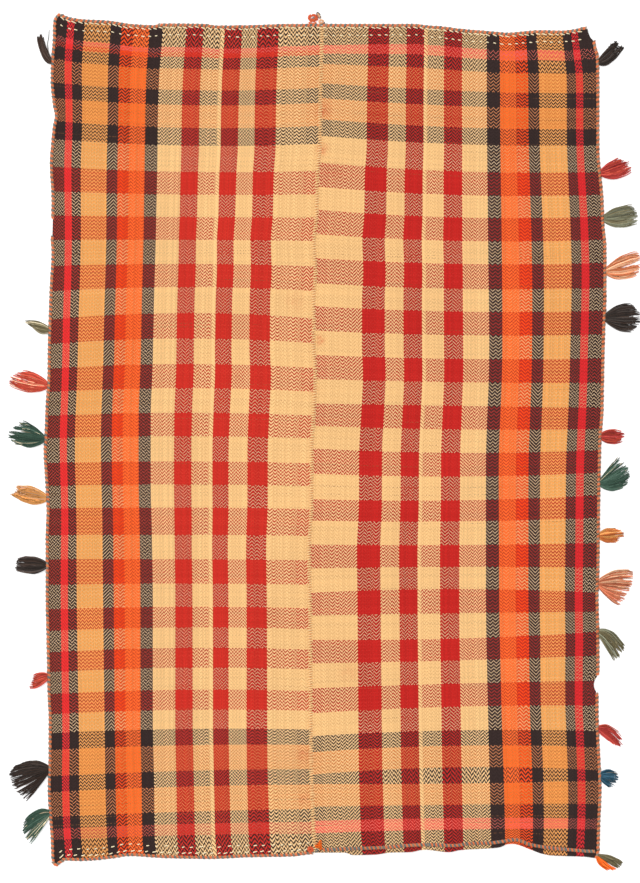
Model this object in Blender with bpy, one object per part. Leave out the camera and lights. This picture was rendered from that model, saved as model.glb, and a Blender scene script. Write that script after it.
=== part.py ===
"""A jajim: two narrow loom panels sewn side by side, edged with overcast yarn and hung with wool tassels.

The rug lies flat on the floor. X runs across it, Y up its length and Z up from the floor, and the origin
is under its middle. The seam itself is open here: the panels lie edge to edge with a hair's gap.
"""

import math
from collections import namedtuple

import bmesh
import bpy
from mathutils import Vector

MM = 0.001

# Cloth and hems
CLOTH_THICKNESS = 2.2 * MM
HEM_THICKNESS = 4.0 * MM
HEM_DEPTH = 17.0 * MM
HEM_SLOPE = 3.0 * MM
SEAM_GAP = 0.5 * MM
PIECE_GAP = 0.4 * MM

# The overcast edging is a low bead of yarn along the outside of the cloth
EDGING_WIDTH = 5.2 * MM
EDGING_HEIGHT = 4.2 * MM

# A tassel is a knot and two layers of locks, the lower one on the floor
KNOT_DEPTH = 6.0 * MM
KNOT_HEIGHT = 5.0 * MM
KNOT_SPREAD = 1.5
LOCK_WIDTH = 8.0 * MM
LOCK_HEIGHT = 2.3 * MM
LOCK_GAP = 0.5 * MM
LOCK_TOP = 0.72
LOCK_TIP = 0.6
THINNEST_LOCK = 0.5 * MM
ROOM_TAKEN = 0.92
UPPER_REACH = 0.88
SECTIONS = 4

# How a lock runs: how much its length varies, how far along it bends, how much it first heads for its tip
# rather than straight out, how tightly the tips are bunched, and how round the front of the knot is
RAGGED = 0.10
BEND_AT = 0.45
HEADING = 0.6
BUNCHING = 0.6
KNOT_ROUND = 1.1

# Spacing of a panel's rows and columns. A hem has two rows, the first a share of its depth in, and the other
# rows keep clear of it.
CLOSEST = 8.0 * MM
LONGEST = 50.0 * MM
HEM_ROWS = 2
FIRST_ROW = 0.3
CLEAR_OF_HEM = 1.2

# The lines of the cloth are tables in millimetres from the rug's middle. A row is a place along the line
# and how far the line stands off there.
Place = namedtuple("Place", "at off")

# Cloth edges on the left and right: at is the height up the rug, off is the distance across
LEFT_SIDE = [
    Place(-1022, -646), Place(-1012, -652), Place(-952, -654), Place(-901, -658), Place(-836, -661),
    Place(-750, -659), Place(-664, -659), Place(-625, -661), Place(-481, -664), Place(-385, -666),
    Place(-241, -666), Place(-169, -664), Place(-85, -668), Place(-30, -671), Place(28, -668),
    Place(83, -666), Place(143, -662), Place(215, -661), Place(287, -659), Place(373, -656),
    Place(443, -652), Place(488, -654), Place(575, -652), Place(661, -656), Place(719, -652),
    Place(748, -649), Place(776, -644), Place(805, -649), Place(863, -654), Place(913, -653),
    Place(956, -649), Place(997, -648), Place(1010, -646), Place(1017, -640),
]
RIGHT_SIDE = [
    Place(-1004, 650), Place(-992, 654), Place(-923, 656), Place(-836, 659), Place(-721, 654),
    Place(-664, 652), Place(-612, 652), Place(-602, 649), Place(-592, 645), Place(-584, 645),
    Place(-574, 649), Place(-565, 654), Place(-481, 654), Place(-376, 652), Place(-318, 654),
    Place(-145, 656), Place(-1, 659), Place(71, 664), Place(191, 666), Place(263, 668),
    Place(344, 671), Place(460, 671), Place(517, 666), Place(575, 664), Place(632, 659),
    Place(695, 654), Place(863, 654), Place(918, 653), Place(944, 646), Place(957, 644),
    Place(962, 639), Place(968, 635), Place(985, 630),
]
SEAM = [
    Place(-990, -22), Place(-956, -26), Place(-865, -30), Place(-781, -33), Place(-625, -34),
    Place(-385, -36), Place(-265, -38), Place(-145, -32), Place(-32, -32), Place(59, -27),
    Place(152, -23), Place(227, -27), Place(335, -27), Place(402, -23), Place(479, -26),
    Place(539, -20), Place(632, -18), Place(704, -12), Place(815, -11), Place(991, -7),
]

# Cloth edges at the top and bottom: at is the distance across, off is the height up the rug
TOP_EDGE = [
    Place(-646, 1011), Place(-638, 1017), Place(-631, 1014), Place(-619, 1008), Place(-581, 1002),
    Place(-523, 999), Place(-458, 990), Place(-408, 988), Place(-396, 992), Place(-288, 991),
    Place(-262, 987), Place(-180, 988), Place(-84, 991), Place(218, 991), Place(238, 988),
    Place(283, 985), Place(319, 980), Place(389, 974), Place(439, 970), Place(485, 974),
    Place(514, 976), Place(564, 975), Place(598, 978), Place(622, 984), Place(630, 985),
]
BOTTOM_EDGE = [
    Place(-652, -1012), Place(-646, -1022), Place(-639, -1015), Place(-631, -1010), Place(-626, -1006),
    Place(-586, -1007), Place(-511, -1001), Place(-470, -995), Place(-384, -1000), Place(-278, -1002),
    Place(-180, -998), Place(-79, -996), Place(-34, -991), Place(-7, -991), Place(48, -991),
    Place(66, -997), Place(120, -996), Place(156, -991), Place(204, -990), Place(238, -984),
    Place(298, -990), Place(324, -985), Place(408, -980), Place(424, -977), Place(436, -971),
    Place(449, -970), Place(494, -984), Place(514, -992), Place(545, -998), Place(624, -1001),
    Place(650, -1004),
]

# At the bottom right the overcasting lies on top of the cloth, a finger's width inside its edge
INNER_LINE = [
    Place(-4, -984), Place(48, -982), Place(110, -980), Place(154, -978), Place(182, -975),
    Place(250, -972), Place(307, -974), Place(353, -969), Place(396, -968), Place(427, -964),
    Place(456, -960), Place(494, -972), Place(535, -979), Place(576, -983), Place(648, -988),
]

# Runs of edging: the panel and the edge that each is sewn round, and from where to where along it
Edging = namedtuple("Edging", "name panel edge start end")
EDGINGS = [
    Edging("edging_left_lower", "panel_left", "left", -1022, 489),
    Edging("edging_left_upper", "panel_left", "left", 531, 1017),
    Edging("edging_right_upper", "panel_right", "right", -564, 955),
    Edging("edging_right_lower", "panel_right", "right", -1003, -608),
    Edging("edging_top_left", "panel_left", "top", -640, -11),
    Edging("edging_top_right", "panel_right", "top", -4, 630),
    Edging("edging_bottom_left", "panel_left", "bottom", -646, -30),
]

# Section of the edging as shares of its width and height, round above and flat where it lies
BEAD = [(0.15, 0.0), (0.0, 0.5), (0.28, 1.0), (0.72, 1.0), (1.0, 0.5), (0.85, 0.0)]

# A tassel leaves its root in the facing direction, in degrees from X, and its lock ends lie along the
# curve through first, middle and last. Places are millimetres. Locks is the number of bunches that the
# ends gather into, and knot is how wide the root is.
Tassel = namedtuple("Tassel", "name facing root first middle last knot strands locks yarn")
TASSELS = [
    Tassel("tassel_left_1", 180, (-659, 908), (-694, 960), (-685, 971), (-677, 967), 11, 10, 2, "brown"),
    Tassel("tassel_left_2", 180, (-667, 263), (-726, 284), (-712, 277), (-706, 272), 13, 6, 1, "olive"),
    Tassel("tassel_left_3", 180, (-668, 131), (-721, 167), (-753, 151), (-757, 128), 14, 12, 2, "red"),
    Tassel("tassel_left_4", 180, (-674, 2), (-718, 49), (-761, 12), (-728, -17), 13, 16, 3, "green"),
    Tassel("tassel_left_5", 180, (-670, -140), (-741, -109), (-744, -124), (-760, -133), 14, 10, 2, "gold"),
    Tassel("tassel_left_6", 180, (-672, -302), (-733, -281), (-744, -301), (-738, -316), 15, 14, 2, "black"),
    Tassel("tassel_left_7", 180, (-667, -570), (-700, -566), (-705, -582), (-712, -599), 14, 10, 3, "red"),
    Tassel("tassel_left_8", 180, (-666, -792), (-740, -780), (-757, -816), (-716, -872), 17, 20, 4, "brown"),
    Tassel("tassel_left_9", 180, (-664, -899), (-718, -909), (-725, -940), (-704, -973), 16, 14, 3, "green"),
    Tassel("tassel_right_1", 0, (661, 906), (697, 961), (709, 948), (720, 938), 12, 10, 2, "black"),
    Tassel("tassel_right_2", 0, (666, 640), (697, 674), (732, 663), (734, 640), 14, 12, 2, "red"),
    Tassel("tassel_right_3", 0, (675, 530), (733, 564), (750, 543), (748, 514), 15, 14, 3, "grey_green"),
    Tassel("tassel_right_4", 0, (676, 404), (750, 452), (758, 424), (745, 386), 15, 14, 2, "salmon"),
    Tassel("tassel_right_5", 0, (674, 292), (728, 329), (758, 294), (733, 256), 17, 18, 4, "black"),
    Tassel("tassel_right_6", 0, (664, 7), (718, 19), (719, 5), (711, -7), 15, 10, 3, "red"),
    Tassel("tassel_right_7", 0, (663, -104), (698, -41), (731, -75), (717, -119), 16, 16, 4, "green"),
    Tassel("tassel_right_8", 0, (662, -231), (689, -211), (718, -227), (693, -248), 14, 9, 3, "gold"),
    Tassel("tassel_right_9", 0, (661, -346), (736, -311), (736, -350), (703, -404), 18, 16, 3, "salmon"),
    Tassel("tassel_right_10", 0, (662, -464), (721, -492), (711, -516), (692, -533), 16, 12, 2, "olive"),
    Tassel("tassel_right_11", 0, (662, -694), (707, -698), (712, -736), (681, -720), 13, 9, 3, "red"),
    Tassel("tassel_right_12", 0, (663, -808), (694, -793), (704, -814), (680, -839), 18, 14, 4, "blue"),
    Tassel(
        "tassel_right_13", -45, (659, -1004), (719, -1014), (700, -1031), (677, -1031), 9, 12, 2, "orange"
    ),
    Tassel("tuft_top", 100, (-22, 999), (-39, 1014), (-25, 1022), (-10, 1020), 9, 6, 3, "orange"),
    Tassel("tuft_bottom", 105, (-16, -988), (-41, -975), (-25, -966), (-8, -965), 9, 6, 2, "orange"),
]

# Principled colours in linear light, with the roughness of wool
YARN_COLOURS = {
    "brown": (0.045, 0.028, 0.020),
    "olive": (0.160, 0.130, 0.065),
    "red": (0.520, 0.035, 0.025),
    "green": (0.025, 0.085, 0.060),
    "gold": (0.660, 0.270, 0.040),
    "black": (0.026, 0.022, 0.019),
    "grey_green": (0.150, 0.170, 0.125),
    "salmon": (0.720, 0.190, 0.085),
    "blue": (0.020, 0.080, 0.125),
    "orange": (0.750, 0.130, 0.030),
}
CLOTH_COLOURS = {
    "panel_left": (0.560, 0.130, 0.065),
    "panel_right": (0.540, 0.120, 0.062),
}
EDGING_COLOUR = (0.520, 0.190, 0.090)
WOOL_ROUGHNESS = 0.9


def clear_scene():
    """Remove every object, so the script starts from nothing."""
    for thing in list(bpy.data.objects):
        bpy.data.objects.remove(thing)


def wool(name, colour):
    """Make one plain wool material."""
    material = bpy.data.materials.new(name)
    material.use_nodes = True
    shader = material.node_tree.nodes["Principled BSDF"]
    shader.inputs["Base Color"].default_value = (*colour, 1.0)
    shader.inputs["Roughness"].default_value = WOOL_ROUGHNESS
    shader.inputs["Metallic"].default_value = 0.0
    return material


def slope_at(line, i):
    """Slope of a line at one of its rows, flat at a peak or a dip, so the curve never overshoots."""
    if i == 0 or i == len(line) - 1:
        return 0.0
    before = (line[i].off - line[i - 1].off) / (line[i].at - line[i - 1].at)
    after = (line[i + 1].off - line[i].off) / (line[i + 1].at - line[i].at)
    if before * after <= 0.0:
        return 0.0
    return 2.0 * before * after / (before + after)


def follow(line, at):
    """Read a table's line in metres as a smooth curve through its rows."""
    at = min(max(at / MM, line[0].at), line[-1].at)
    i = 0
    while i < len(line) - 2 and line[i + 1].at < at:
        i += 1
    low = line[i]
    high = line[i + 1]
    run = high.at - low.at
    t = (at - low.at) / run
    ease = t * t * (3.0 - 2.0 * t)
    lead = t * (1.0 - t) ** 2 * run * slope_at(line, i)
    trail = t * t * (1.0 - t) * run * slope_at(line, i + 1)
    return (low.off + (high.off - low.off) * ease + lead - trail) * MM


def panel_point(left, right, u, v):
    """Place of a share u across and v up one panel, with all four of its edges met exactly."""
    x = 0.0
    y = 0.0
    for _ in range(16):
        bottom = follow(BOTTOM_EDGE, x)
        top = follow(TOP_EDGE, x)
        y = bottom + (top - bottom) * v
        x = left(y) + (right(y) - left(y)) * u
    return x, y


def shares(lines, low, high):
    """Shares from 0 to 1 at which the tables have a row between low and high, with long gaps halved."""
    places = sorted({row.at for line in lines for row in line if low < row.at < high})
    kept = [low]
    for place in [*places, high]:
        if place - kept[-1] < CLOSEST / MM:
            continue
        pieces = math.ceil((place - kept[-1]) * MM / LONGEST)
        start = kept[-1]
        kept.extend(start + (place - start) * i / pieces for i in range(1, pieces + 1))
    kept[-1] = high
    return [(place - low) / (high - low) for place in kept]


def with_hems(shares_up, length):
    """Rows up a panel, where the rows inside the hems and at their two ends are set evenly."""
    hem = HEM_DEPTH / length
    thin = (HEM_DEPTH + HEM_SLOPE) / length
    first = FIRST_ROW * hem
    clear = CLEAR_OF_HEM * thin
    middle = [share for share in shares_up if clear < share < 1.0 - clear]
    return [0.0, first, hem, thin, *middle, 1.0 - thin, 1.0 - hem, 1.0 - first, 1.0]


def panel_grid(left, right, shares_up):
    """Rows of floor points of one panel, from its bottom edge to its top edge and from left to right."""
    across = shares([TOP_EDGE, BOTTOM_EDGE], left(0.0) / MM, right(0.0) / MM)
    return [[Vector((*panel_point(left, right, u, v), 0.0)) for u in across] for v in shares_up]


def make_panel(name, grid, colour):
    """Make a panel as one closed sheet with thicker hems, flat underneath."""
    columns = len(grid[0]) - 1
    rows = len(grid) - 1
    mesh = bpy.data.meshes.new(name)
    bm = bmesh.new()
    bmesh.ops.create_grid(bm, x_segments=columns, y_segments=rows, size=0.5)
    lifted = bmesh.ops.extrude_face_region(bm, geom=bm.faces[:])
    upper = {item for item in lifted["geom"] if isinstance(item, bmesh.types.BMVert)}
    for vert in bm.verts:
        column = round((vert.co.x + 0.5) * columns)
        row = round((vert.co.y + 0.5) * rows)
        in_hem = row <= HEM_ROWS or row >= rows - HEM_ROWS
        vert.co = grid[row][column]
        if vert in upper:
            vert.co.z = HEM_THICKNESS if in_hem else CLOTH_THICKNESS
    bmesh.ops.recalc_face_normals(bm, faces=bm.faces[:])
    bm.to_mesh(mesh)
    bm.free()
    return add_object(name, mesh, wool(name, colour))


def add_object(name, mesh, material):
    """Link a finished mesh to the scene under its own name."""
    mesh.materials.append(material)
    thing = bpy.data.objects.new(name, mesh)
    bpy.context.collection.objects.link(thing)
    return thing


def push_face(bm, face, places):
    """Extrude one face and put the corners of the new one at the given places."""
    grown = bmesh.ops.extrude_discrete_faces(bm, faces=[face])["faces"][0]
    for vert, place in zip(grown.verts, places):
        vert.co = place
    return grown


def point_on(points, axis, at):
    """Point at a place along X (axis 0) or Y (axis 1) on a line of points in rising order."""
    for before, after in zip(points, points[1:]):
        if at <= after[axis]:
            break
    share = (at - before[axis]) / (after[axis] - before[axis])
    return before.lerp(after, min(max(share, 0.0), 1.0))


def stretch(points, axis, start, end):
    """The part of a line of points between two places."""
    inner = [point for point in points if start + MM < point[axis] < end - MM]
    return [point_on(points, axis, start), *inner, point_on(points, axis, end)]


def outward_at(points, i, side):
    """Mitred normal at a point of a line, on the side that faces away from the cloth."""
    legs = []
    if i > 0:
        legs.append((points[i] - points[i - 1]).normalized())
    if i < len(points) - 1:
        legs.append((points[i + 1] - points[i]).normalized())
    normals = [Vector((leg.y, -leg.x, 0.0)) * side for leg in legs]
    middle = sum(normals, Vector((0.0, 0.0, 0.0))).normalized()
    return middle / max(middle.dot(normals[0]), 0.5)


def make_edging(name, points, side, floor_z, inset):
    """Sweep the bead along a line of points, on its right (side 1) or on its left (side -1)."""
    mesh = bpy.data.meshes.new(name)
    bm = bmesh.new()
    face = None
    for i, point in enumerate(points):
        outward = outward_at(points, i, side)
        section = []
        for share, rise in BEAD:
            corner = point + outward * (inset + share * EDGING_WIDTH)
            corner.z = floor_z + rise * EDGING_HEIGHT
            section.append(corner)
        if face is None:
            face = bm.faces.new([bm.verts.new(corner) for corner in section])
        else:
            face = push_face(bm, face, section)
    bmesh.ops.holes_fill(bm, edges=bm.edges[:], sides=len(BEAD))
    bmesh.ops.recalc_face_normals(bm, faces=bm.faces[:])
    bm.to_mesh(mesh)
    bm.free()
    return add_object(name, mesh, wool(name, EDGING_COLOUR))


def turned(degrees):
    """Unit vector in the floor at an angle from X."""
    return Vector((math.cos(math.radians(degrees)), math.sin(math.radians(degrees)), 0.0))


def rough(i):
    """A fixed uneven share from 0 to 1 for the i-th lock."""
    return (math.sin(i * 12.9898 + 4.1) * 43758.5453) % 1.0


def root_place(tassel):
    """Where the back of a knot stands, just clear of the edging beside it."""
    x, y = (value * MM for value in tassel.root)
    reach = 0.5 * tassel.knot * MM
    clear = 2.0 * PIECE_GAP + EDGING_WIDTH
    heights = [y - reach, y, y + reach]
    if tassel.facing == 180:
        x = min(follow(LEFT_SIDE, height) for height in heights) - clear
    elif tassel.facing == 0:
        x = max(follow(RIGHT_SIDE, height) for height in heights) + clear
    return Vector((x, y, 0.0))


def tip_place(tassel, share):
    """Where a lock ends: on the curve through the tassel's three tips, drawn in to its bunch."""
    bunch = (math.floor(min(share, 0.999) * tassel.locks) + 0.5) / tassel.locks
    t = bunch + (share - bunch) * BUNCHING
    first, middle, last = (
        Vector((place[0] * MM, place[1] * MM, 0.0)) for place in (tassel.first, tassel.middle, tassel.last)
    )
    ends = first * (1.0 - t) * (1.0 - 2.0 * t) + last * t * (2.0 * t - 1.0)
    return ends + middle * 4.0 * t * (1.0 - t)


def lock_path(tassel, start, share, reach, seed):
    """Centres of a lock's sections, leaving the knot outwards and bending to its tip."""
    tip = start + (tip_place(tassel, share) - start) * reach * (1.0 - RAGGED * rough(seed))
    length = (tip - start).length
    aim = (tip - start).normalized() * HEADING + turned(tassel.facing) * (1.0 - HEADING)
    bend = start + aim.normalized() * length * BEND_AT
    steps = [i / SECTIONS for i in range(SECTIONS + 1)]
    return [start * (1 - s) ** 2 + bend * 2 * s * (1 - s) + tip * s * s for s in steps]


def lock_normals(path):
    """Sideways unit vector at each section of a path."""
    normals = []
    for i in range(len(path)):
        before = path[max(i - 1, 0)]
        after = path[min(i + 1, len(path) - 1)]
        ahead = (after - before).normalized()
        normals.append(Vector((-ahead.y, ahead.x, 0.0)))
    return normals


def half_width(paths, normals, column, i, widest):
    """Half a lock's width at a section: as wide as its neighbours leave room for."""
    room = widest
    for beside in (column - 1, column + 1):
        if 0 <= beside < len(paths):
            between = abs((paths[beside][i] - paths[column][i]).dot(normals[column][i]))
            room = min(room, between * ROOM_TAKEN - LOCK_GAP)
    taper = 1.0 if i < SECTIONS else LOCK_TIP
    return 0.5 * max(room * taper, THINNEST_LOCK)


def make_tassel(tassel, floor_z):
    """Make the knot and pull each small face of its front out into a lock."""
    columns = max(tassel.strands // 2, 1)
    outward = turned(tassel.facing)
    sideways = turned(tassel.facing - 90)
    root = root_place(tassel)
    width = tassel.knot * MM
    mesh = bpy.data.meshes.new(tassel.name)
    bm = bmesh.new()
    bmesh.ops.create_grid(bm, x_segments=columns, y_segments=2, size=0.5)
    for vert in bm.verts:
        across = vert.co.x
        height = (vert.co.y + 0.5) * KNOT_HEIGHT
        round_out = KNOT_DEPTH * (1.0 - KNOT_ROUND * across * across)
        vert.co = root + sideways * (across * width * KNOT_SPREAD) + outward * round_out
        vert.co.z = floor_z + height
    front = bm.faces[:]
    lifted = bmesh.ops.extrude_face_region(bm, geom=front)
    back = [item for item in lifted["geom"] if isinstance(item, bmesh.types.BMVert)]
    for vert in back:
        across = (vert.co - root).dot(sideways) / KNOT_SPREAD
        height = vert.co.z
        vert.co = root + sideways * across
        vert.co.z = height
    bmesh.ops.recalc_face_normals(bm, faces=bm.faces[:])
    bmesh.ops.inset_individual(bm, faces=front, thickness=0.5 * LOCK_GAP)

    spread = Vector((*tassel.last, 0.0)) - Vector((*tassel.first, 0.0))
    middle_z = floor_z + 0.5 * KNOT_HEIGHT
    lower_layer = [face for face in front if face.calc_center_median().z < middle_z]
    upper_layer = [face for face in front if face.calc_center_median().z > middle_z]
    for upper, layer in ((False, lower_layer), (True, upper_layer)):
        layer.sort(key=lambda face: face.calc_center_median().dot(spread))
        starts = [face.calc_center_median().copy() for face in layer]
        low = floor_z + (LOCK_HEIGHT + LOCK_GAP if upper else 0.0)
        reach = UPPER_REACH if upper else 1.0
        paths = []
        for column, start in enumerate(starts):
            share = (column + 0.5) / columns
            flat = Vector((start.x, start.y, 0.0))
            paths.append(lock_path(tassel, flat, share, reach, column + 40 * upper + len(tassel.name)))
        normals = [lock_normals(path) for path in paths]
        for column, face in enumerate(layer):
            middle = starts[column]
            marks = [
                ((vert.co - middle).dot(normals[column][0]) > 0.0, vert.co.z > middle.z)
                for vert in face.verts
            ]
            for i in range(1, SECTIONS + 1):
                half = half_width(paths, normals, column, i, LOCK_WIDTH)
                corners = []
                for is_left, is_high in marks:
                    out = half * (LOCK_TOP if is_high else 1.0)
                    corner = paths[column][i] + normals[column][i] * (out if is_left else -out)
                    corner.z = low + (LOCK_HEIGHT if is_high else 0.0)
                    corners.append(corner)
                face = push_face(bm, face, corners)
    bmesh.ops.recalc_face_normals(bm, faces=bm.faces[:])
    bm.to_mesh(mesh)
    bm.free()
    return add_object(tassel.name, mesh, wool(tassel.name, YARN_COLOURS[tassel.yarn]))


def edge_of(grid, edge):
    """One edge of a panel as a rising line of points, with the axis it runs along and its outer side."""
    if edge == "left":
        return [row[0] for row in grid], 1, -1
    if edge == "right":
        return [row[-1] for row in grid], 1, 1
    if edge == "top":
        return grid[-1], 0, -1
    return grid[0], 0, 1


def build():
    """Build the whole rug."""
    clear_scene()
    half_seam = 0.5 * SEAM_GAP
    low = LEFT_SIDE[0].at
    high = LEFT_SIDE[-1].at
    shares_up = with_hems(shares([LEFT_SIDE, SEAM, RIGHT_SIDE], low, high), (high - low) * MM)
    grids = {
        "panel_left": panel_grid(
            lambda y: follow(LEFT_SIDE, y), lambda y: follow(SEAM, y) - half_seam, shares_up
        ),
        "panel_right": panel_grid(
            lambda y: follow(SEAM, y) + half_seam, lambda y: follow(RIGHT_SIDE, y), shares_up
        ),
    }
    for name, grid in grids.items():
        make_panel(name, grid, CLOTH_COLOURS[name])
    for run in EDGINGS:
        line, axis, side = edge_of(grids[run.panel], run.edge)
        points = stretch(line, axis, run.start * MM, run.end * MM)
        make_edging(run.name, points, side, 0.0, PIECE_GAP)
    inner = [Vector((row.at * MM, row.off * MM, 0.0)) for row in INNER_LINE]
    make_edging("edging_bottom_right", inner, 1, HEM_THICKNESS + PIECE_GAP, -0.5 * EDGING_WIDTH)
    for tassel in TASSELS:
        on_cloth = tassel.name == "tuft_bottom"
        make_tassel(tassel, HEM_THICKNESS + PIECE_GAP if on_cloth else 0.0)


build()
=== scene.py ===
# %% [markdown]
# A jajim is a rug of two narrow loom panels, laced side by side. Everything in this lesson is laid over the
# imported model of that rug, which is loaded first and stays as it is. The finished rug may stand only a
# little proud of it.

# %% Load the imported rug
import math
import random
from collections import namedtuple

import bmesh
import bpy
import numpy as np
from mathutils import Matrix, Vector


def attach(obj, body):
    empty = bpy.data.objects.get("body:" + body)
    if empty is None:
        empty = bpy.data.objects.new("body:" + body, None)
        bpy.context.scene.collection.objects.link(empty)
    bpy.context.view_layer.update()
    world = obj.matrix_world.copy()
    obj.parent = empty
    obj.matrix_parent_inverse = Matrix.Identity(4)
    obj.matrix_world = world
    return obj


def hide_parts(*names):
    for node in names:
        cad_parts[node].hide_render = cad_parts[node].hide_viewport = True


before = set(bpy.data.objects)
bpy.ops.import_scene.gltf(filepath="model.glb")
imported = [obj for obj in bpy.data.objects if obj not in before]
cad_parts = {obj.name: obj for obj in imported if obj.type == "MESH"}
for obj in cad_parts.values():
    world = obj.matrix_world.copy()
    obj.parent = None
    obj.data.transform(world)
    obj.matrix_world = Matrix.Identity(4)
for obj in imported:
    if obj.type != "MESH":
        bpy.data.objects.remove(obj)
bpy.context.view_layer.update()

MM = 0.001

# %% [markdown]
# The photo looks straight down at a rug on a white ground. A long lens far above it keeps the edges
# parallel, as a copy stand does. The photo is 640 by 883 pixels, and 2.4 mm of rug fall on each.

# %% Camera
PIXEL = 2.4 * MM
FRAME_PIXELS = (640, 883)
PHOTO_MIDDLE = (-12.0 * MM, -4.8 * MM)
CAMERA_HEIGHT = 9.0
SENSOR = 36.0

lens = bpy.data.cameras.new("camera")
lens.sensor_fit = "VERTICAL"
lens.sensor_height = SENSOR
lens.lens = SENSOR * CAMERA_HEIGHT / (FRAME_PIXELS[1] * PIXEL)
camera = bpy.data.objects.new("camera", lens)
camera.location = (*PHOTO_MIDDLE, CAMERA_HEIGHT)
bpy.context.collection.objects.link(camera)
bpy.context.scene.camera = camera
print("lens", round(lens.lens, 1), "mm")

# %% [markdown]
# The edges of the cloth wander, so each is a short table of places: where along the line, and how far it
# stands off there, in millimetres from the rug's middle. A smooth curve through the rows gives every
# other place. The tables are the maker's tape measure, and all the other pieces are hung on them.

# %% Lines of the cloth
Place = namedtuple("Place", "at off")


def table(kind, *rows):
    """The rows of a measured table, each with its columns named."""
    return [kind(*row) for row in rows]


LEFT_SIDE = table(
    Place,
    (-1022, -646), (-1012, -652), (-952, -654), (-901, -658), (-836, -661), (-750, -659), (-664, -659),
    (-625, -661), (-481, -664), (-385, -666), (-241, -666), (-169, -664), (-85, -668), (-30, -671),
    (28, -668), (83, -666), (143, -662), (215, -661), (287, -659), (373, -656), (443, -652), (488, -654),
    (575, -652), (661, -656), (719, -652), (748, -649), (776, -644), (805, -649), (863, -654), (913, -653),
    (956, -649), (997, -648), (1010, -646), (1017, -640),
)
RIGHT_SIDE = table(
    Place,
    (-1004, 650), (-992, 654), (-923, 656), (-836, 659), (-721, 654), (-664, 652), (-612, 652), (-602, 649),
    (-592, 645), (-584, 645), (-574, 649), (-565, 654), (-481, 654), (-376, 652), (-318, 654), (-145, 656),
    (-1, 659), (71, 664), (191, 666), (263, 668), (344, 671), (460, 671), (517, 666), (575, 664),
    (632, 659), (695, 654), (863, 654), (918, 653), (944, 646), (957, 644), (962, 639), (968, 635),
    (985, 630),
)
SEAM = table(
    Place,
    (-990, -22), (-956, -26), (-865, -30), (-781, -33), (-625, -34), (-385, -36), (-265, -38), (-145, -32),
    (-32, -32), (59, -27), (152, -23), (227, -27), (335, -27), (402, -23), (479, -26), (539, -20),
    (632, -18), (704, -12), (815, -11), (991, -7),
)
TOP_EDGE = table(
    Place,
    (-646, 1011), (-638, 1017), (-631, 1014), (-619, 1008), (-581, 1002), (-523, 999), (-458, 990),
    (-408, 988), (-396, 992), (-288, 991), (-262, 987), (-180, 988), (-84, 991), (218, 991), (238, 988),
    (283, 985), (319, 980), (389, 974), (439, 970), (485, 974), (514, 976), (564, 975), (598, 978),
    (622, 984), (630, 985),
)
BOTTOM_EDGE = table(
    Place,
    (-652, -1012), (-646, -1022), (-639, -1015), (-631, -1010), (-626, -1006), (-586, -1007), (-511, -1001),
    (-470, -995), (-384, -1000), (-278, -1002), (-180, -998), (-79, -996), (-34, -991), (-7, -991),
    (48, -991), (66, -997), (120, -996), (156, -991), (204, -990), (238, -984), (298, -990), (324, -985),
    (408, -980), (424, -977), (436, -971), (449, -970), (494, -984), (514, -992), (545, -998), (624, -1001),
    (650, -1004),
)
INNER_LINE = table(
    Place,
    (-4, -984), (48, -982), (110, -980), (154, -978), (182, -975), (250, -972), (307, -974), (353, -969),
    (396, -968), (427, -964), (456, -960), (494, -972), (535, -979), (576, -983), (648, -988),
)


def slope_at(line, i):
    """Slope of a line at one of its rows, flat at a peak or a dip, so the curve never overshoots."""
    if i == 0 or i == len(line) - 1:
        return 0.0
    before = (line[i].off - line[i - 1].off) / (line[i].at - line[i - 1].at)
    after = (line[i + 1].off - line[i].off) / (line[i + 1].at - line[i].at)
    if before * after <= 0.0:
        return 0.0
    return 2.0 * before * after / (before + after)


def follow(line, at):
    """Read a table's line in metres as a smooth curve through its rows."""
    at = min(max(at / MM, line[0].at), line[-1].at)
    i = 0
    while i < len(line) - 2 and line[i + 1].at < at:
        i += 1
    low = line[i]
    high = line[i + 1]
    run = high.at - low.at
    t = (at - low.at) / run
    ease = t * t * (3.0 - 2.0 * t)
    lead = t * (1.0 - t) ** 2 * run * slope_at(line, i)
    trail = t * t * (1.0 - t) * run * slope_at(line, i + 1)
    return (low.off + (high.off - low.off) * ease + lead - trail) * MM


SAMPLES = np.linspace(-1.03, 1.03, 1031)


def sampled(line):
    """A line's offsets at every one of the sample places, for quick reading."""
    return np.array([follow(line, at) for at in SAMPLES])


print("seam wanders by", round((max(sampled(SEAM)) - min(sampled(SEAM))) / MM), "mm")

# %% [markdown]
# The pattern is nothing but stripes in the warp crossed by bands in the weft. A weaver would write down
# the yarn of each stripe and how many ends it has. Here a stripe's width is taken at three heights,
# because the cloth is drawn in and let out along its length. Turn is about how many ends the twill runs one
# way before it turns back, cut is how often its lines are cut there instead of meeting in a point, and cover
# is how much of the face the warp takes.

# %% Stripes of the warp
Stripe = namedtuple("Stripe", "yarn turn cut cover top middle bottom")
HEIGHTS = (-937 * MM, -73 * MM, 887 * MM)

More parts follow.
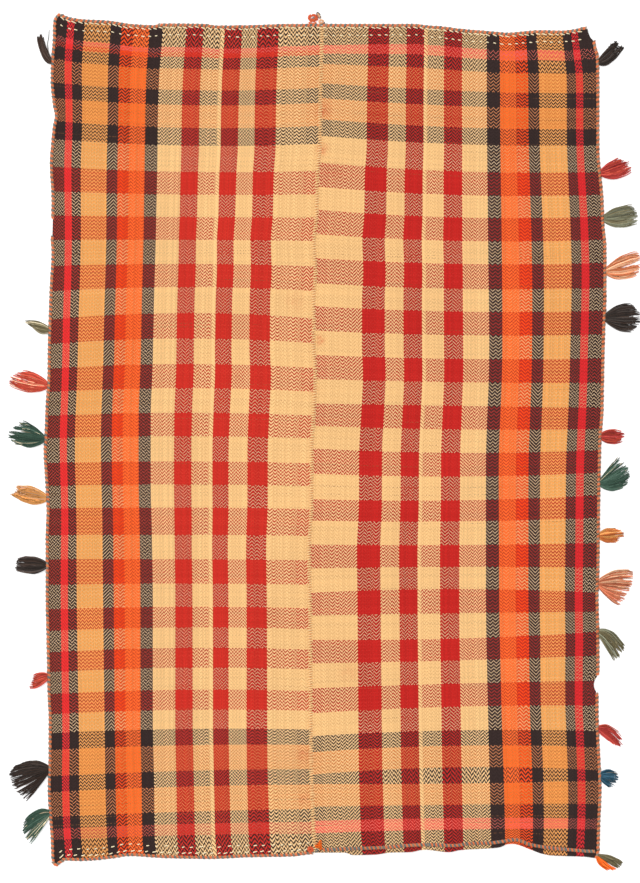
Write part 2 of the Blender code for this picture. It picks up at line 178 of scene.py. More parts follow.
LEFT_OUTER = table(
    Stripe,
    ("black", 2, 0.9, 0.66, 27, 33, 28),
    ("bright_red", 2, 0.8, 0.74, 17, 17, 17),
    ("black", 2, 0.9, 0.66, 24, 19, 24),
    ("gold", 3, 0.0, 0.60, 62, 62, 62),
    ("black", 9, 0.0, 0.66, 26, 26, 24),
    ("red_orange", 3, 0.1, 0.59, 28, 26, 26),
    ("orange", 2, 0.9, 0.75, 38, 38, 35),
    ("black", 2, 0.9, 0.66, 31, 29, 30),
)
LEFT_INNER = table(
    Stripe,
    ("cream", 2, 0.9, 0.58, 57, 55, 53),
    ("red", 3, 0.9, 0.68, 42, 41, 42),
    ("cream", 2, 0.8, 0.58, 43, 41, 39),
    ("cream", 9, 0.0, 0.84, 9, 9, 9),
    ("red", 3, 0.9, 0.68, 42, 38, 37),
    ("cream", 2, 1.0, 0.58, 38, 45, 42),
    ("red", 3, 0.7, 0.68, 51, 48, 50),
    ("cream", 2, 0.8, 0.59, 72, 70, 71),
    ("cream", 3, 0.3, 0.51, 34, 34, 34),
)
RIGHT_INNER = table(
    Stripe,
    ("cream", 3, 0.3, 0.50, 28, 28, 28),
    ("cream", 3, 0.7, 0.56, 83, 86, 85),
    ("crimson", 3, 0.8, 0.66, 50, 55, 56),
    ("cream", 2, 0.8, 0.56, 42, 45, 45),
    ("crimson", 3, 0.8, 0.66, 42, 44, 43),
    ("cream", 9, 0.0, 0.84, 9, 9, 9),
    ("cream", 2, 0.9, 0.56, 39, 44, 46),
    ("crimson", 3, 0.8, 0.66, 43, 46, 46),
    ("cream", 3, 0.8, 0.56, 59, 62, 67),
)
RIGHT_OUTER = table(
    Stripe,
    ("black", 3, 0.1, 0.69, 32, 31, 34),
    ("orange", 2, 0.9, 0.75, 38, 41, 36),
    ("red_orange", 3, 0.1, 0.59, 29, 30, 31),
    ("black", 9, 0.0, 0.69, 26, 28, 26),
    ("gold", 3, 0.0, 0.58, 66, 62, 58),
    ("black", 2, 0.9, 0.69, 22, 24, 22),
    ("cherry", 2, 0.8, 0.74, 17, 19, 19),
    ("black", 2, 0.9, 0.69, 34, 36, 32),
)

# The line between the outer stripes and the inner ones, where black meets cream
LEFT_KEY = table(
    Place,
    (-1014, -403), (-961, -408), (-817, -410), (-673, -413), (-385, -413), (-241, -415), (-97, -418),
    (47, -418), (191, -413), (335, -410), (479, -406), (575, -404), (671, -402), (767, -401), (863, -398),
    (1007, -389),
)
RIGHT_KEY = table(
    Place,
    (-1007, 399), (-937, 398), (-649, 391), (-361, 386), (-73, 386), (215, 394), (503, 391), (887, 388),
    (1007, 388),
)
print("stripes:", len(LEFT_OUTER + LEFT_INNER), "and", len(RIGHT_INNER + RIGHT_OUTER))

# %% [markdown]
# The bands of the weft are beaten in one after another, from the top edge down. Each row of a table says
# where its band ends, measured at one place across the panel. The bands don't run quite straight: the
# lean table says how much higher or lower they lie in the panel's middle and at its far side. Some wefts
# show more than others between the same ends, and how much depends on whether those are light, red or
# black. So does the strength of the painted light: the painted highlight on the lighter floats and the
# painted shade in the gaps between the yarns. The gold and the brightest reds are spun finer, with more
# ends to a stripe.

# %% Bands of the weft
Band = namedtuple("Band", "yarn end")
Lean = namedtuple("Lean", "at middle far")


def by_turns(yarns, *ends):
    """Rows of the bands of two yarns that take turns."""
    return [(yarns[k % 2], end) for k, end in enumerate(ends)]


LEFT_BANDS = table(
    Band,
    ("black", 954), ("pink", 942), ("flame", 930), ("black", 901), ("apricot", 848), ("black", 812),
    ("apricot", 757), ("black", 714),
    *by_turns(
        ("straw", "madder"),
        649, 592, 536, 479, 419, 361, 296, 236, 176, 119, 61, 6, -54, -109, -164, -229, -287, -347,
        -404, -455, -505, -553, -606, -654, -700
    ),
    ("black", -740), ("apricot", -803), ("black", -841), ("apricot", -901), ("black", -930), ("rose", -956),
    ("black", None),
)
RIGHT_BANDS = table(
    Band,
    ("black", 947), ("pink", 936), ("coral_weft", 926), ("black", 899), ("apricot", 851), ("black", 815),
    ("apricot", 764), ("black", 724),
    *by_turns(
        ("straw", "claret"),
        659, 601, 546, 488, 431, 371, 316, 258, 200, 143, 85, 30, -25, -85, -145, -196, -253, -308,
        -364, -421, -481, -536, -594, -652, -707
    ),
    ("black", -745), ("apricot", -798), ("black", -827), ("apricot", -880), ("black", -913), ("pink", -942),
    ("black", None),
)
LEFT_LEAN = table(
    Lean,
    (-1009, 5, 7), (-901, 7, 14), (-803, 7, 12), (-700, 5, 5), (-505, 5, 2), (-289, 0, -2), (6, 2, -2),
    (296, 7, -2), (479, 0, -2), (702, -8, -7), (850, -9, -7), (950, -12, -10),
)
RIGHT_LEAN = table(
    Lean,
    (-1000, -7, -19), (-942, 7, 8), (-913, 5, 5), (-827, 2, 5), (-798, 12, 10), (-707, 10, 10),
    (-652, 12, 14), (-481, 5, 12), (-364, 5, 2), (-253, 0, 2), (-145, 0, 5), (-25, -7, -5), (85, -5, -7),
    (200, -7, -7), (335, -10, -10), (431, -10, -10), (539, -14, -14), (659, -17, -19), (900, -16, -20),
    (945, -9, -12),
)

WEFT_SHOWS = {
    "light": {"black": 0.10, "madder": 0.06, "claret": 0.08, "straw": -0.10, "pink": 0.24,
              "coral_weft": 0.20, "flame": 0.18, "rose": 0.08, "apricot": 0.02},
    "red": {"black": 0.20, "madder": 0.08, "claret": 0.08, "straw": -0.12, "pink": -0.07,
            "coral_weft": -0.05, "flame": 0.00, "rose": -0.05, "apricot": -0.06},
    "black": {"black": 0.08, "madder": -0.06, "claret": -0.07, "straw": -0.10, "pink": -0.17,
              "coral_weft": -0.17, "flame": -0.09, "rose": -0.07, "apricot": -0.08},
}
WEFT_SHOWS["bright"] = WEFT_SHOWS["red"]
FINE_YARNS = ("gold", "bright_red", "cherry")
# How strongly each family of yarns gets a painted highlight on its floats and painted shade in its gaps
PAINTED_LIGHT_STRENGTH = {"light": 1.0, "red": 2.4, "bright": 1.4, "black": 2.4}
FAMILY = {"red": "red", "crimson": "red", "bright_red": "bright", "cherry": "bright", "black": "black"}

# Where across the rug the bands were measured: at the band's own place, in the middle and far across
LEFT_MEASURED = (-554 * MM, -370 * MM, -72 * MM)
RIGHT_MEASURED = (48 * MM, 362 * MM, 523 * MM)
print("bands:", len(LEFT_BANDS), "and", len(RIGHT_BANDS))

# %% [markdown]
# The yarns are dyed wool, so each colour is one named dye. The numbers are the shades as a screen shows
# them, and the shader wants them as linear light.

# %% Dyes
Dye = namedtuple("Dye", "red green blue")
DYES = {
    "cream": (251, 201, 137), "straw": (249, 194, 128), "red": (207, 44, 36), "crimson": (198, 36, 32),
    "madder": (218, 58, 42), "claret": (208, 46, 40), "black": (57, 44, 42), "gold": (245, 162, 82),
    "apricot": (234, 134, 68), "orange": (254, 106, 40), "red_orange": (242, 74, 16),
    "bright_red": (243, 47, 54), "cherry": (224, 43, 50), "pink": (252, 104, 92), "rose": (214, 88, 74),
    "flame": (236, 70, 44), "coral_weft": (250, 106, 86), "edging_orange": (238, 134, 86),
    "edging_grey": (166, 144, 124), "edging_blue": (122, 130, 126), "edging_brown": (138, 104, 84),
    "thread": (255, 238, 198), "seam_thread": (252, 214, 156), "slub": (150, 98, 62),
    # The first colour on the next line is painted shade, for the holes between the seam's lacing bars
    "seam_crossing": (214, 156, 100), "brown": (74, 58, 50), "olive": (122, 112, 82),
    "scarlet": (206, 84, 64), "green": (66, 92, 78), "amber": (222, 156, 88), "dark": (60, 52, 48),
    "grey_green": (132, 132, 108), "salmon": (222, 132, 88), "teal": (44, 84, 104), "coral": (208, 120, 86),
    "ruby": (178, 62, 56), "ochre": (210, 118, 62), "flame_tuft": (220, 100, 64),
    "orange_scrap": (246, 112, 36), "pale": (214, 200, 168), "peach": (244, 190, 150),
    "steel": (120, 122, 118),
}


def linear(dye):
    """A dye's colour in linear light."""
    shades = [value / 255.0 for value in Dye(*DYES[dye])]
    return tuple(v / 12.92 if v <= 0.04045 else ((v + 0.055) / 1.055) ** 2.4 for v in shades)


print("dyes:", len(DYES), "cream is", [round(v, 3) for v in linear("cream")])

# %% [markdown]
# Up close the cloth is a 2/2 twill. Each warp end floats over a few picks, and each end's float starts
# one pick beside its neighbour's, which draws the slanting lines. Where the threading turns back the lines
# make zigzags. A node group works this out for any point from two counts, how many ends and how many
# picks away it lies, so the same group dresses every stripe. It gives the colour, and the height of the
# yarns for the bump. The colour carries painted shade where the yarns lie low and a little painted light
# on their tops. Where one yarn is much lighter than the other, its floats get a painted highlight and the
# gaps between them painted shade. A strength for each family of yarns says how strongly.

# %% Node helpers
def new_group(name, inputs, outputs):
    """A shader node group, with the sockets it reads from and the sockets it fills."""
    group = bpy.data.node_groups.new(name, "ShaderNodeTree")
    for way, sockets in (("INPUT", inputs), ("OUTPUT", outputs)):
        for label, kind in sockets.items():
            group.interface.new_socket(label, in_out=way, socket_type="NodeSocket" + kind)
    return group, group.nodes.new("NodeGroupInput").outputs, group.nodes.new("NodeGroupOutput").inputs


def wire(tree, value, socket):
    """Link an output to a socket, or set the socket to a plain value."""
    if isinstance(value, bpy.types.NodeSocket):
        tree.links.new(value, socket)
    else:
        socket.default_value = value


def added(tree, kind, inputs, **settings):
    """Add a shader node, make its settings, wire its inputs and hand back its outputs."""
    node = tree.nodes.new("ShaderNode" + kind)
    for name, value in settings.items():
        setattr(node, name, value)
    for label, value in inputs.items():
        wire(tree, value, node.inputs[label])
    return node.outputs


def sums(tree, operation, *values):
    """A Math node's result."""
    return added(tree, "Math", dict(enumerate(values)), operation=operation)[0]


def times(tree, first, second):
    """One value times another."""
    return sums(tree, "MULTIPLY", first, second)


def blended(tree, share, first, second, way="MIX"):
    """A share of one colour laid over another."""
    inputs = {"Factor": share, "A": first, "B": second}
    return added(tree, "Mix", inputs, data_type="RGBA", blend_type=way)["Result"]


def tinted(tree, colour, shade):
    """A colour made darker or lighter."""
    return blended(tree, 1.0, colour, shade, "MULTIPLY")


def ranged(tree, value, low, high, new_low, new_high):
    """A value moved from one range into another."""
    inputs = {"Value": value, "From Min": low, "From Max": high, "To Min": new_low, "To Max": new_high}
    return added(tree, "MapRange", inputs)["Result"]


def noise(tree, place, scale, detail=2.0):
    """A Noise Texture's value at a place."""
    return added(tree, "TexNoise", {"Scale": scale, "Detail": detail, "Vector": place})["Fac"]


def chance(tree, value):
    """One fixed random number for each whole value."""
    return added(tree, "TexWhiteNoise", {"W": value}, noise_dimensions="1D")["Value"]


def layer(tree, name, output="Fac"):
    """What a named layer of the mesh says."""
    return added(tree, "Attribute", {}, attribute_name=name)[output]


def arch(tree, value):
    """0 at both ends of a step from 0 to 1 and 1 in its middle."""
    return times(tree, times(tree, value, sums(tree, "SUBTRACT", 1.0, value)), 4.0)


def lightness(tree, colour):
    """How light a colour is, as one value."""
    return added(tree, "RGBToBW", {"Color": colour})["Val"]


def placed_group(tree, group, **values):
    """Put a group into a tree and wire its named inputs."""
    return added(tree, "Group", values, node_tree=group)


def bumped(tree, height, distance, strength, **under):
    """A Bump node's normal, on top of the Normal it is given, if any."""
    inputs = {"Height": height, "Distance": distance, "Strength": strength, **under}
    return added(tree, "Bump", inputs)["Normal"]


# %% Twill group
# Painted light in the weave: the colour that light floats are lifted towards as a painted highlight, how far
# they are lifted, and how dark the painted shade in the gaps between yarns may get.
FLOAT_HIGHLIGHT = (1.0, 0.88, 0.72, 1.0)
HIGHLIGHT_LIFT = 0.6
DEEPEST_GAP_SHADE = 0.5
REPEAT = 4.0
WANDER = 0.35


def make_twill():
    """The weave's colour, with painted light and shade, and yarn height, from counts of ends and picks."""
    numbers = ("Cover", "Ends", "Picks", "Threading", "Slope", "Crispness")
    group, given, result = new_group(
        "twill", {"Warp": "Color", "Weft": "Color", **dict.fromkeys(numbers, "Float")},
        {"Color": "Color", "Height": "Float"},
    )
    cover = given["Cover"]
    end = sums(group, "FLOOR", given["Ends"])
    pick = sums(group, "FLOOR", given["Picks"])
    threaded = sums(group, "MULTIPLY_ADD", given["Slope"], end, given["Threading"])
    wander = times(group, sums(group, "SUBTRACT", chance(group, end), 0.5), WANDER)
    along = sums(group, "ADD", sums(group, "ADD", threaded, wander), given["Picks"])
    phase = sums(group, "FRACT", times(group, along, 1.0 / REPEAT))
    floats = sums(group, "LESS_THAN", phase, cover)

    across_end = arch(group, sums(group, "FRACT", given["Ends"]))
    across_pick = arch(group, sums(group, "FRACT", given["Picks"]))
    along_float = sums(group, "MINIMUM", sums(group, "DIVIDE", phase, cover), 1.0)
    warp_rise = times(group, across_end, sums(group, "SQRT", arch(group, along_float)))
    warp_height = sums(group, "MULTIPLY_ADD", warp_rise, 0.7, 0.3)
    weft_height = sums(group, "MULTIPLY_ADD", across_pick, 0.35, 0.22)
    bared = sums(group, "SUBTRACT", 1.0, floats)
    height = sums(group, "MULTIPLY_ADD", warp_height, floats, times(group, weft_height, bared))

    warp = tinted(group, given["Warp"], ranged(group, chance(group, end), 0.0, 1.0, 0.88, 1.10))
    weft = tinted(group, given["Weft"], ranged(group, chance(group, pick), 0.0, 1.0, 0.84, 1.10))
    seen = blended(group, floats, weft, warp)
    mean = blended(group, cover, weft, warp)
    contrast = sums(group, "SUBTRACT", lightness(group, seen), lightness(group, mean))
    painted_contrast = times(group, contrast, given["Crispness"])
    # Painted highlight: a float lighter than the weave's mean colour is lifted towards the highlight colour.
    highlight_share = times(group, times(group, painted_contrast, lightness(group, seen)), HIGHLIGHT_LIFT)
    highlighted = blended(group, highlight_share, seen, FLOAT_HIGHLIGHT)
    # Painted shade in the gaps: where the yarn that shows is darker than the mean, it is darkened further.
    gap_shade = ranged(group, painted_contrast, -0.5, 0.0, DEEPEST_GAP_SHADE, 1.0)
    # Painted shade and light from the relief: yarns lying low are darker, float tops a little lighter.
    shade = times(group, ranged(group, height, 0.0, 0.9, 0.66, 1.10), gap_shade)
    wire(group, tinted(group, highlighted, shade), result["Color"])
    wire(group, height, result["Height"])
    return group


TWILL = make_twill()
print("twill group:", len(TWILL.nodes), "nodes")

# %% [markdown]
# Old wool is never one flat shade. A second group gives any dye its wear: patches a little lighter or
# duller as wide as a hand, and a fine mottling from the hairs. The cloth, the edging and the tassels all
# use it, each with its own amounts.

# %% Worn wool group
def make_worn_wool():
    """A dyed colour with broad fading and fine mottling."""
    group, given, result = new_group(
        "worn wool", {"Color": "Color", "Fading": "Float", "Mottling": "Float", "Hair": "Float"},
        {"Color": "Color", "Height": "Float"},
    )
    place = added(group, "TexCoord", {})["Object"]
    broad = sums(group, "SUBTRACT", noise(group, place, 5.0, 3.0), 0.5)
    hairs = noise(group, place, given["Hair"])
    fine = sums(group, "SUBTRACT", hairs, 0.5)
    faded = sums(group, "MULTIPLY_ADD", broad, given["Fading"], 1.0)
    mottled = sums(group, "MULTIPLY_ADD", fine, given["Mottling"], faded)
    wire(group, tinted(group, given["Color"], mottled), result["Color"])
    wire(group, hairs, result["Height"])
    return group


WORN_WOOL = make_worn_wool()
print("worn wool group:", len(WORN_WOOL.nodes), "nodes")

# %% [markdown]
# The cloth's material puts the two groups together. The yarn colours, the threading and the counts come
# from layers of the mesh, so one material serves both panels. A few picks were spun from darker wool,
# and here and there dye or dirt has left a spot, which is one more layer.

# %% Cloth material
ROUGH_WOOL = 0.92
YARN_RELIEF = 0.7 * MM
HAIR_RELIEF = 0.25 * MM
EVEN_PICKS = 0.965


def new_wool(name, specular):
    """A rough wool material, with its tree and the inputs of its shader."""
    material = bpy.data.materials.new(name)
    material.use_nodes = True
    shader = material.node_tree.nodes["Principled BSDF"].inputs
    shader["Roughness"].default_value = ROUGH_WOOL
    shader["Specular IOR Level"].default_value = specular
    return material, material.node_tree, shader


def make_cloth_material(name):
    """Worn wool twill for the panels."""
    material, tree, shader = new_wool(name, 0.08)
    counts = added(tree, "SeparateXYZ", {"Vector": added(tree, "UVMap", {}, uv_map="counts")["UV"]})
    pick = sums(tree, "FLOOR", counts["Y"])
    odd = sums(tree, "GREATER_THAN", chance(tree, sums(tree, "ADD", pick, 0.37)), EVEN_PICKS)
    place = added(tree, "TexCoord", {})["Object"]
    where = ranged(tree, noise(tree, place, 7.0), 0.48, 0.58, 0.0, 0.6)
    weft = blended(tree, times(tree, odd, where), layer(tree, "weft", "Color"), (*linear("slub"), 1.0))
    weave = placed_group(
        tree, TWILL, Warp=layer(tree, "warp", "Color"), Weft=weft, Cover=layer(tree, "cover"),
        Ends=counts["X"], Picks=counts["Y"], Threading=layer(tree, "threading"),
        Slope=layer(tree, "slope"), Crispness=layer(tree, "painted_light_strength")
    )
    blotch = ranged(tree, noise(tree, place, 160.0), 0.35, 0.65, 0.2, 0.8)
    stain = times(tree, layer(tree, "stain"), blotch)
    spotted = blended(tree, stain, weave["Color"], (*linear("rose"), 1.0), "MULTIPLY")
    wool = placed_group(tree, WORN_WOOL, Color=spotted, Fading=0.16, Mottling=0.34, Hair=700.0)
    fuzz = bumped(tree, wool["Height"], HAIR_RELIEF, 0.35)
    wire(tree, wool["Color"], shader["Base Color"])
    wire(tree, bumped(tree, weave["Height"], YARN_RELIEF, 0.6, Normal=fuzz), shader["Normal"])
    return material


CLOTH = make_cloth_material("twill cloth")
print("cloth material:", len(CLOTH.node_tree.nodes), "nodes")

# %% [markdown]
# A panel is woven as a grid. Its columns are planned first: a line wherever a stripe ends or the twill
# turns back, with the count of ends up to there. The rows are planned the same way from the bands, closer
# together in the hems.

# %% Plan of the columns and rows
END_PITCH = 2.05 * MM
FINE_END_PITCH = 1.54 * MM
PICK_PITCH = 2.05 * MM
ROW_STEP = 9.0 * MM
HEM_STEP = 3.5 * MM
HEM_DEPTH = 17.0 * MM
CLOTH_TOP = 0.99
CLOTH_BOTTOM = -0.995
Column = namedtuple("Column", "stripe share ends threading slope")
Row = namedtuple("Row", "band share picks")


def plan_columns(stripes, chooser):
    """Column lines from left to right. A line's slope and threading are those of the twill on its right."""
    columns = []
    ends = 0
    shed = 0
    way = 1
    for i, stripe in enumerate(stripes):
        pitch = FINE_END_PITCH if stripe.yarn in FINE_YARNS else END_PITCH
        count = max(round(stripe.middle * MM / pitch), 2)
        done = 0
        while done < count:
            columns.append(Column(i, done / count, ends + done, shed - way * (ends + done), way))
            longest = 1.0 if stripe.yarn in FINE_YARNS else 1.6
            run = max(round(stripe.turn * chooser.uniform(0.7, longest)), 2) if stripe.cut else stripe.turn
            run = min(run, count - done)
            cut = chooser.random() < stripe.cut
            shed += way * (run - 1) + (2 if cut else -way)
            way = -way
            done += run
        ends += count
    columns.append(Column(len(stripes) - 1, 1.0, ends, 0, way))
    return columns


def plan_rows(bands):
    """Row lines from the top edge down. A row's share is how far down its band it lies."""
    rows = []
    picks = 0
    start = CLOTH_TOP
    for i, band in enumerate(bands):
        end = CLOTH_BOTTOM if band.end is None else band.end * MM
        in_hem = i in (0, len(bands) - 1)
        count = round((start - end) / PICK_PITCH)
        steps = math.ceil((start - end) / (HEM_STEP if in_hem else ROW_STEP))
        rows.extend(Row(i, k / steps, picks + count * k / steps) for k in range(steps))
        picks += count
        start = end
    rows.append(Row(len(bands) - 1, 1.0, picks))
    return rows


# %% [markdown]
# Every crossing of a column and a row needs its place on the floor. The column's place across depends on
# its height, and the row's height depends on its place across, so the two are worked out in turn until
# they agree.

# %% Places of the crossings
CORNER_REACH = 150 * MM
NEAR_REACH = 0.10
FAR_REACH = 0.14
ROUNDS = 14


def stripe_borders(stripes, left, right):
    """The sampled lines between stripes, from one sampled line to another."""
    widths = np.array([
        np.interp(SAMPLES, HEIGHTS, (stripe.bottom, stripe.middle, stripe.top)) for stripe in stripes
    ])
    shares = np.cumsum(widths, axis=0) / np.sum(widths, axis=0)
    return [left] + [left + (right - left) * share for share in shares]


def band_borders(bands, leans, measured):
    """The sampled lines between bands, from the top edge to the bottom edge."""
    borders = [sampled(TOP_EDGE)]
    heights = [lean.at * MM for lean in leans]
    spread = np.clip(SAMPLES, min(measured) - NEAR_REACH, max(measured) + FAR_REACH)
    edge = np.interp(spread, SAMPLES, borders[0])
    corner = edge - np.polyval(np.polyfit(measured, np.interp(measured, SAMPLES, borders[0]), 2), spread)
    for band in bands[:-1]:
        at = band.end * MM
        middle = np.interp(at, heights, [lean.middle * MM for lean in leans])
        far = np.interp(at, heights, [lean.far * MM for lean in leans])
        curve = np.polyfit(measured, (0.0, middle, far), 2)
        near_top = min(max(1.0 - (CLOTH_TOP - at) / CORNER_REACH, 0.0), 1.0)
        borders.append(at + np.polyval(curve, spread) + corner * near_top)
    borders.append(sampled(BOTTOM_EDGE))
    return borders


def crossings(columns, rows, across, down):
    """X and Y of every crossing, one row of numbers for each row of the cloth."""
    x = np.zeros((len(rows), len(columns)))
    y = np.zeros((len(rows), len(columns)))
    for _ in range(ROUNDS):
        for j, column in enumerate(columns):
            low = np.interp(y[:, j], SAMPLES, across[column.stripe])
            high = np.interp(y[:, j], SAMPLES, across[column.stripe + 1])
            x[:, j] = low + (high - low) * column.share
        for i, row in enumerate(rows):
            high = np.interp(x[i], SAMPLES, down[row.band])
            low = np.interp(x[i], SAMPLES, down[row.band + 1])
            y[i] = high + (low - high) * row.share
    return x, y


# %% [markdown]
# The cloth lies nearly flat. It is a little over 2 mm thick, double in the hems, and it still lifts here
# and there by a hair's breadth: in slow waves, in small gathers along the hem stitches, and in the ridge
# where the seam draws the two selvedges together.

# %% Lie of the cloth
CLOTH_THICKNESS = 2.2 * MM
HEM_THICKNESS = 4.0 * MM
HEM_SLOPE = 3.0 * MM
UNDERSIDE = 0.15 * MM
SHARP = math.radians(50)
GATHER_AT = 10.0 * MM
GATHER_REACH = 14.0 * MM
RIDGE_REACH = 7.0 * MM
SEAM_HALF_GAP = 0.05 * MM
SEAM_LINE = sampled(SEAM)
TOP_LINE = sampled(TOP_EDGE)
BOTTOM_LINE = sampled(BOTTOM_EDGE)


def surface_height(x, y):
    """Height of the cloth's face above the floor, for one place or for arrays of places."""
    to_hem = np.minimum(np.interp(x, SAMPLES, TOP_LINE) - y, y - np.interp(x, SAMPLES, BOTTOM_LINE))
    hem = np.clip((HEM_DEPTH + HEM_SLOPE - to_hem) / HEM_SLOPE, 0.0, 1.0)
    slow = np.sin(x * 31.0 + 2.0 * np.sin(y * 9.0)) * np.sin(y * 23.0 + 1.3 * np.sin(x * 11.0 + 0.7))
    quick = np.sin(x * 83.0 + y * 37.0) * np.sin(y * 71.0 - x * 19.0)
    at_hem = np.exp(-((to_hem - GATHER_AT) / GATHER_REACH) ** 2)
    gather = np.sin(x * 370.0 + 3.0 * np.sin(x * 21.0)) * at_hem
    to_seam = (x - np.interp(y, SAMPLES, SEAM_LINE)) / RIDGE_REACH
    ridge = np.exp(-to_seam * to_seam) * (0.6 + 0.25 * np.sin(y * 260.0))
    lift = 0.22 * slow + 0.08 * quick + 0.22 * gather + 0.5 * ridge + 0.4
    return CLOTH_THICKNESS + (HEM_THICKNESS - CLOTH_THICKNESS) * hem + lift * MM


def on_cloth(x, y, up):
    """A place some millimetres above the cloth's face."""
    return Vector((x, y, float(surface_height(x, y)) + up * MM))


# %% [markdown]
# The dye of the reds has run a little beside the seam, and there are a few odd spots. Each is a row of a
# table: where it is, how wide, and how strong.

# %% Stains
Spot = namedtuple("Spot", "x y radius strength")
SPOTS = table(
    Spot,
    (-50, -756, 14, 0.7), (-52, -862, 12, 0.5), (-4, 790, 16, 0.9), (-6, 696, 12, 0.8), (-12, 238, 10, 0.9),
    (-30, 120, 12, 0.4), (20, 640, 22, 0.35), (-210, 150, 14, 0.25), (148, 520, 16, 0.3),
    (-130, -420, 20, 0.25), (60, -560, 26, 0.25), (-70, 330, 24, 0.25),
)


def stain_at(x, y):
    """How strongly the spots colour one place."""
    total = 0.0
    for spot in SPOTS:
        away = math.hypot(x - spot.x * MM, y - spot.y * MM) / (spot.radius * MM)
        total = max(total, spot.strength * math.exp(-away * away))
    return total


# %% [markdown]
# The panel itself starts as Blender's grid, whose points are then moved to the crossings. The grid is
# extruded once to give the cloth its back. The layers that the material reads are filled on the way:
# counts on the corners, stains on the points, and the yarns, threading and cover on the faces.

# %% Weave a panel
def link(name, mesh, material=None):
    """Add a finished mesh to the scene, riding on the rug."""
    if material is not None:
        mesh.materials.append(material)
    piece = bpy.data.objects.new(name, mesh)
    bpy.context.collection.objects.link(piece)
    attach(piece, "root")
    return piece


def weave_panel(name, node, stripes, across, bands, leans, measured, seed):
    """Make one panel of cloth as a closed mesh with its weave in its layers."""
    columns = plan_columns(stripes, random.Random(seed))
    rows = plan_rows(bands)
    down = band_borders(bands, leans, measured)
    x, y = crossings(columns, rows, across, down)
    z = surface_height(x, y)
    wide = len(columns) - 1
    tall = len(rows) - 1

    bm = bmesh.new()
    bmesh.ops.create_grid(bm, x_segments=wide, y_segments=tall, size=0.5)
    column_layer = bm.verts.layers.int.new("column")
    row_layer = bm.verts.layers.int.new("row")
    stain = bm.verts.layers.float.new("stain")
    for vert in bm.verts:
        vert[column_layer] = round((vert.co.x + 0.5) * wide)
        vert[row_layer] = tall - round((vert.co.y + 0.5) * tall)
    numbers = ("slope", "threading", "painted_light_strength", "cover")
    slope, threading, painted_light_strength, cover = [bm.faces.layers.float.new(name) for name in numbers]
    warp, weft = [bm.faces.layers.float_vector.new(name) for name in ("warp", "weft")]
    for face in bm.faces:
        column = columns[min(vert[column_layer] for vert in face.verts)]
        row = rows[min(vert[row_layer] for vert in face.verts)]
        stripe = stripes[column.stripe]
        face[slope] = column.slope
        face[threading] = column.threading
        family = FAMILY.get(stripe.yarn, "light")
        weft_yarn = bands[row.band].yarn
        # How strongly this stripe gets painted highlights and painted shade
        face[painted_light_strength] = PAINTED_LIGHT_STRENGTH[family]
        face[cover] = stripe.cover - WEFT_SHOWS[family][weft_yarn]
        face[warp] = linear(stripe.yarn)
        face[weft] = linear(weft_yarn)
    lifted = bmesh.ops.extrude_face_region(bm, geom=bm.faces[:])
    upper = {item for item in lifted["geom"] if isinstance(item, bmesh.types.BMVert)}
    for vert in bm.verts:
        i = vert[row_layer]
        j = vert[column_layer]
        vert.co = (x[i, j], y[i, j], z[i, j] if vert in upper else UNDERSIDE)
        vert[stain] = stain_at(x[i, j], y[i, j])
    counts = bm.loops.layers.uv.new("counts")
    for face in bm.faces:
        face.smooth = True
        for loop in face.loops:
            loop[counts].uv = (columns[loop.vert[column_layer]].ends, rows[loop.vert[row_layer]].picks)
    for edge in bm.edges:
        if edge.verts[0] not in upper and edge.verts[1] in upper:
            continue
        if len(edge.link_faces) == 2 and edge.calc_face_angle(0.0) > SHARP:
            edge.smooth = False
    bmesh.ops.recalc_face_normals(bm, faces=bm.faces[:])
    mesh = bpy.data.meshes.new(name)
    bm.to_mesh(mesh)
    bm.free()
    piece = link(name, mesh, CLOTH)
    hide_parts(node)
    print(name, wide, "by", tall, "cells,", columns[-1].ends, "ends and", round(rows[-1].picks), "picks")
    return piece


# %% Both panels
NOTCH = 80 * MM


def without_notches(line):
    """A sampled line averaged over a span, so the stripes beside it don't follow every nick of the edge."""
    reach = round(NOTCH / (SAMPLES[1] - SAMPLES[0]))
    padded = np.pad(line, reach, mode="edge")
    return np.convolve(padded, np.ones(2 * reach + 1) / (2 * reach + 1), mode="valid")


left_line = sampled(LEFT_SIDE)
right_line = sampled(RIGHT_SIDE)
left_key = sampled(LEFT_KEY)
right_key = sampled(RIGHT_KEY)
left_across = [left_line] + stripe_borders(LEFT_OUTER, without_notches(left_line), left_key)[1:]
left_across += stripe_borders(LEFT_INNER, left_key, SEAM_LINE - SEAM_HALF_GAP)[1:]
right_across = stripe_borders(RIGHT_INNER, SEAM_LINE + SEAM_HALF_GAP, right_key)
right_across += stripe_borders(RIGHT_OUTER, right_key, without_notches(right_line))[1:-1] + [right_line]

left_panel = weave_panel(
    "left_panel", "panel_left", LEFT_OUTER + LEFT_INNER, left_across, LEFT_BANDS, LEFT_LEAN, LEFT_MEASURED, 3
)
right_panel = weave_panel(
    "right_panel", "panel_right", RIGHT_INNER + RIGHT_OUTER, right_across, RIGHT_BANDS, RIGHT_LEAN,
    RIGHT_MEASURED, 8
)

# %% [markdown]
# All the sewing is round yarn: a curve with a bevel makes one at once, and hundreds of them share one
# curve object, each with its own dye. The curves are then turned into a mesh. The plies of the yarn are a
# slanting stripe in the material, counted along and around each yarn by its UV map, with painted shade in
# the grooves between them and a little painted light on their crests.

# %% Yarn material
PLY_RELIEF = 0.3 * MM
PLIES = 3.0
# Darker and lighter copies of each wool, the lighter with a touch of white, for tassel strands at random:
# tone that differs from strand to strand, and also painted shade and painted light among the strands.
TONE_AND_SHADE_TINTS = {"": 1.0, " deep": 0.6, " light": 1.6}


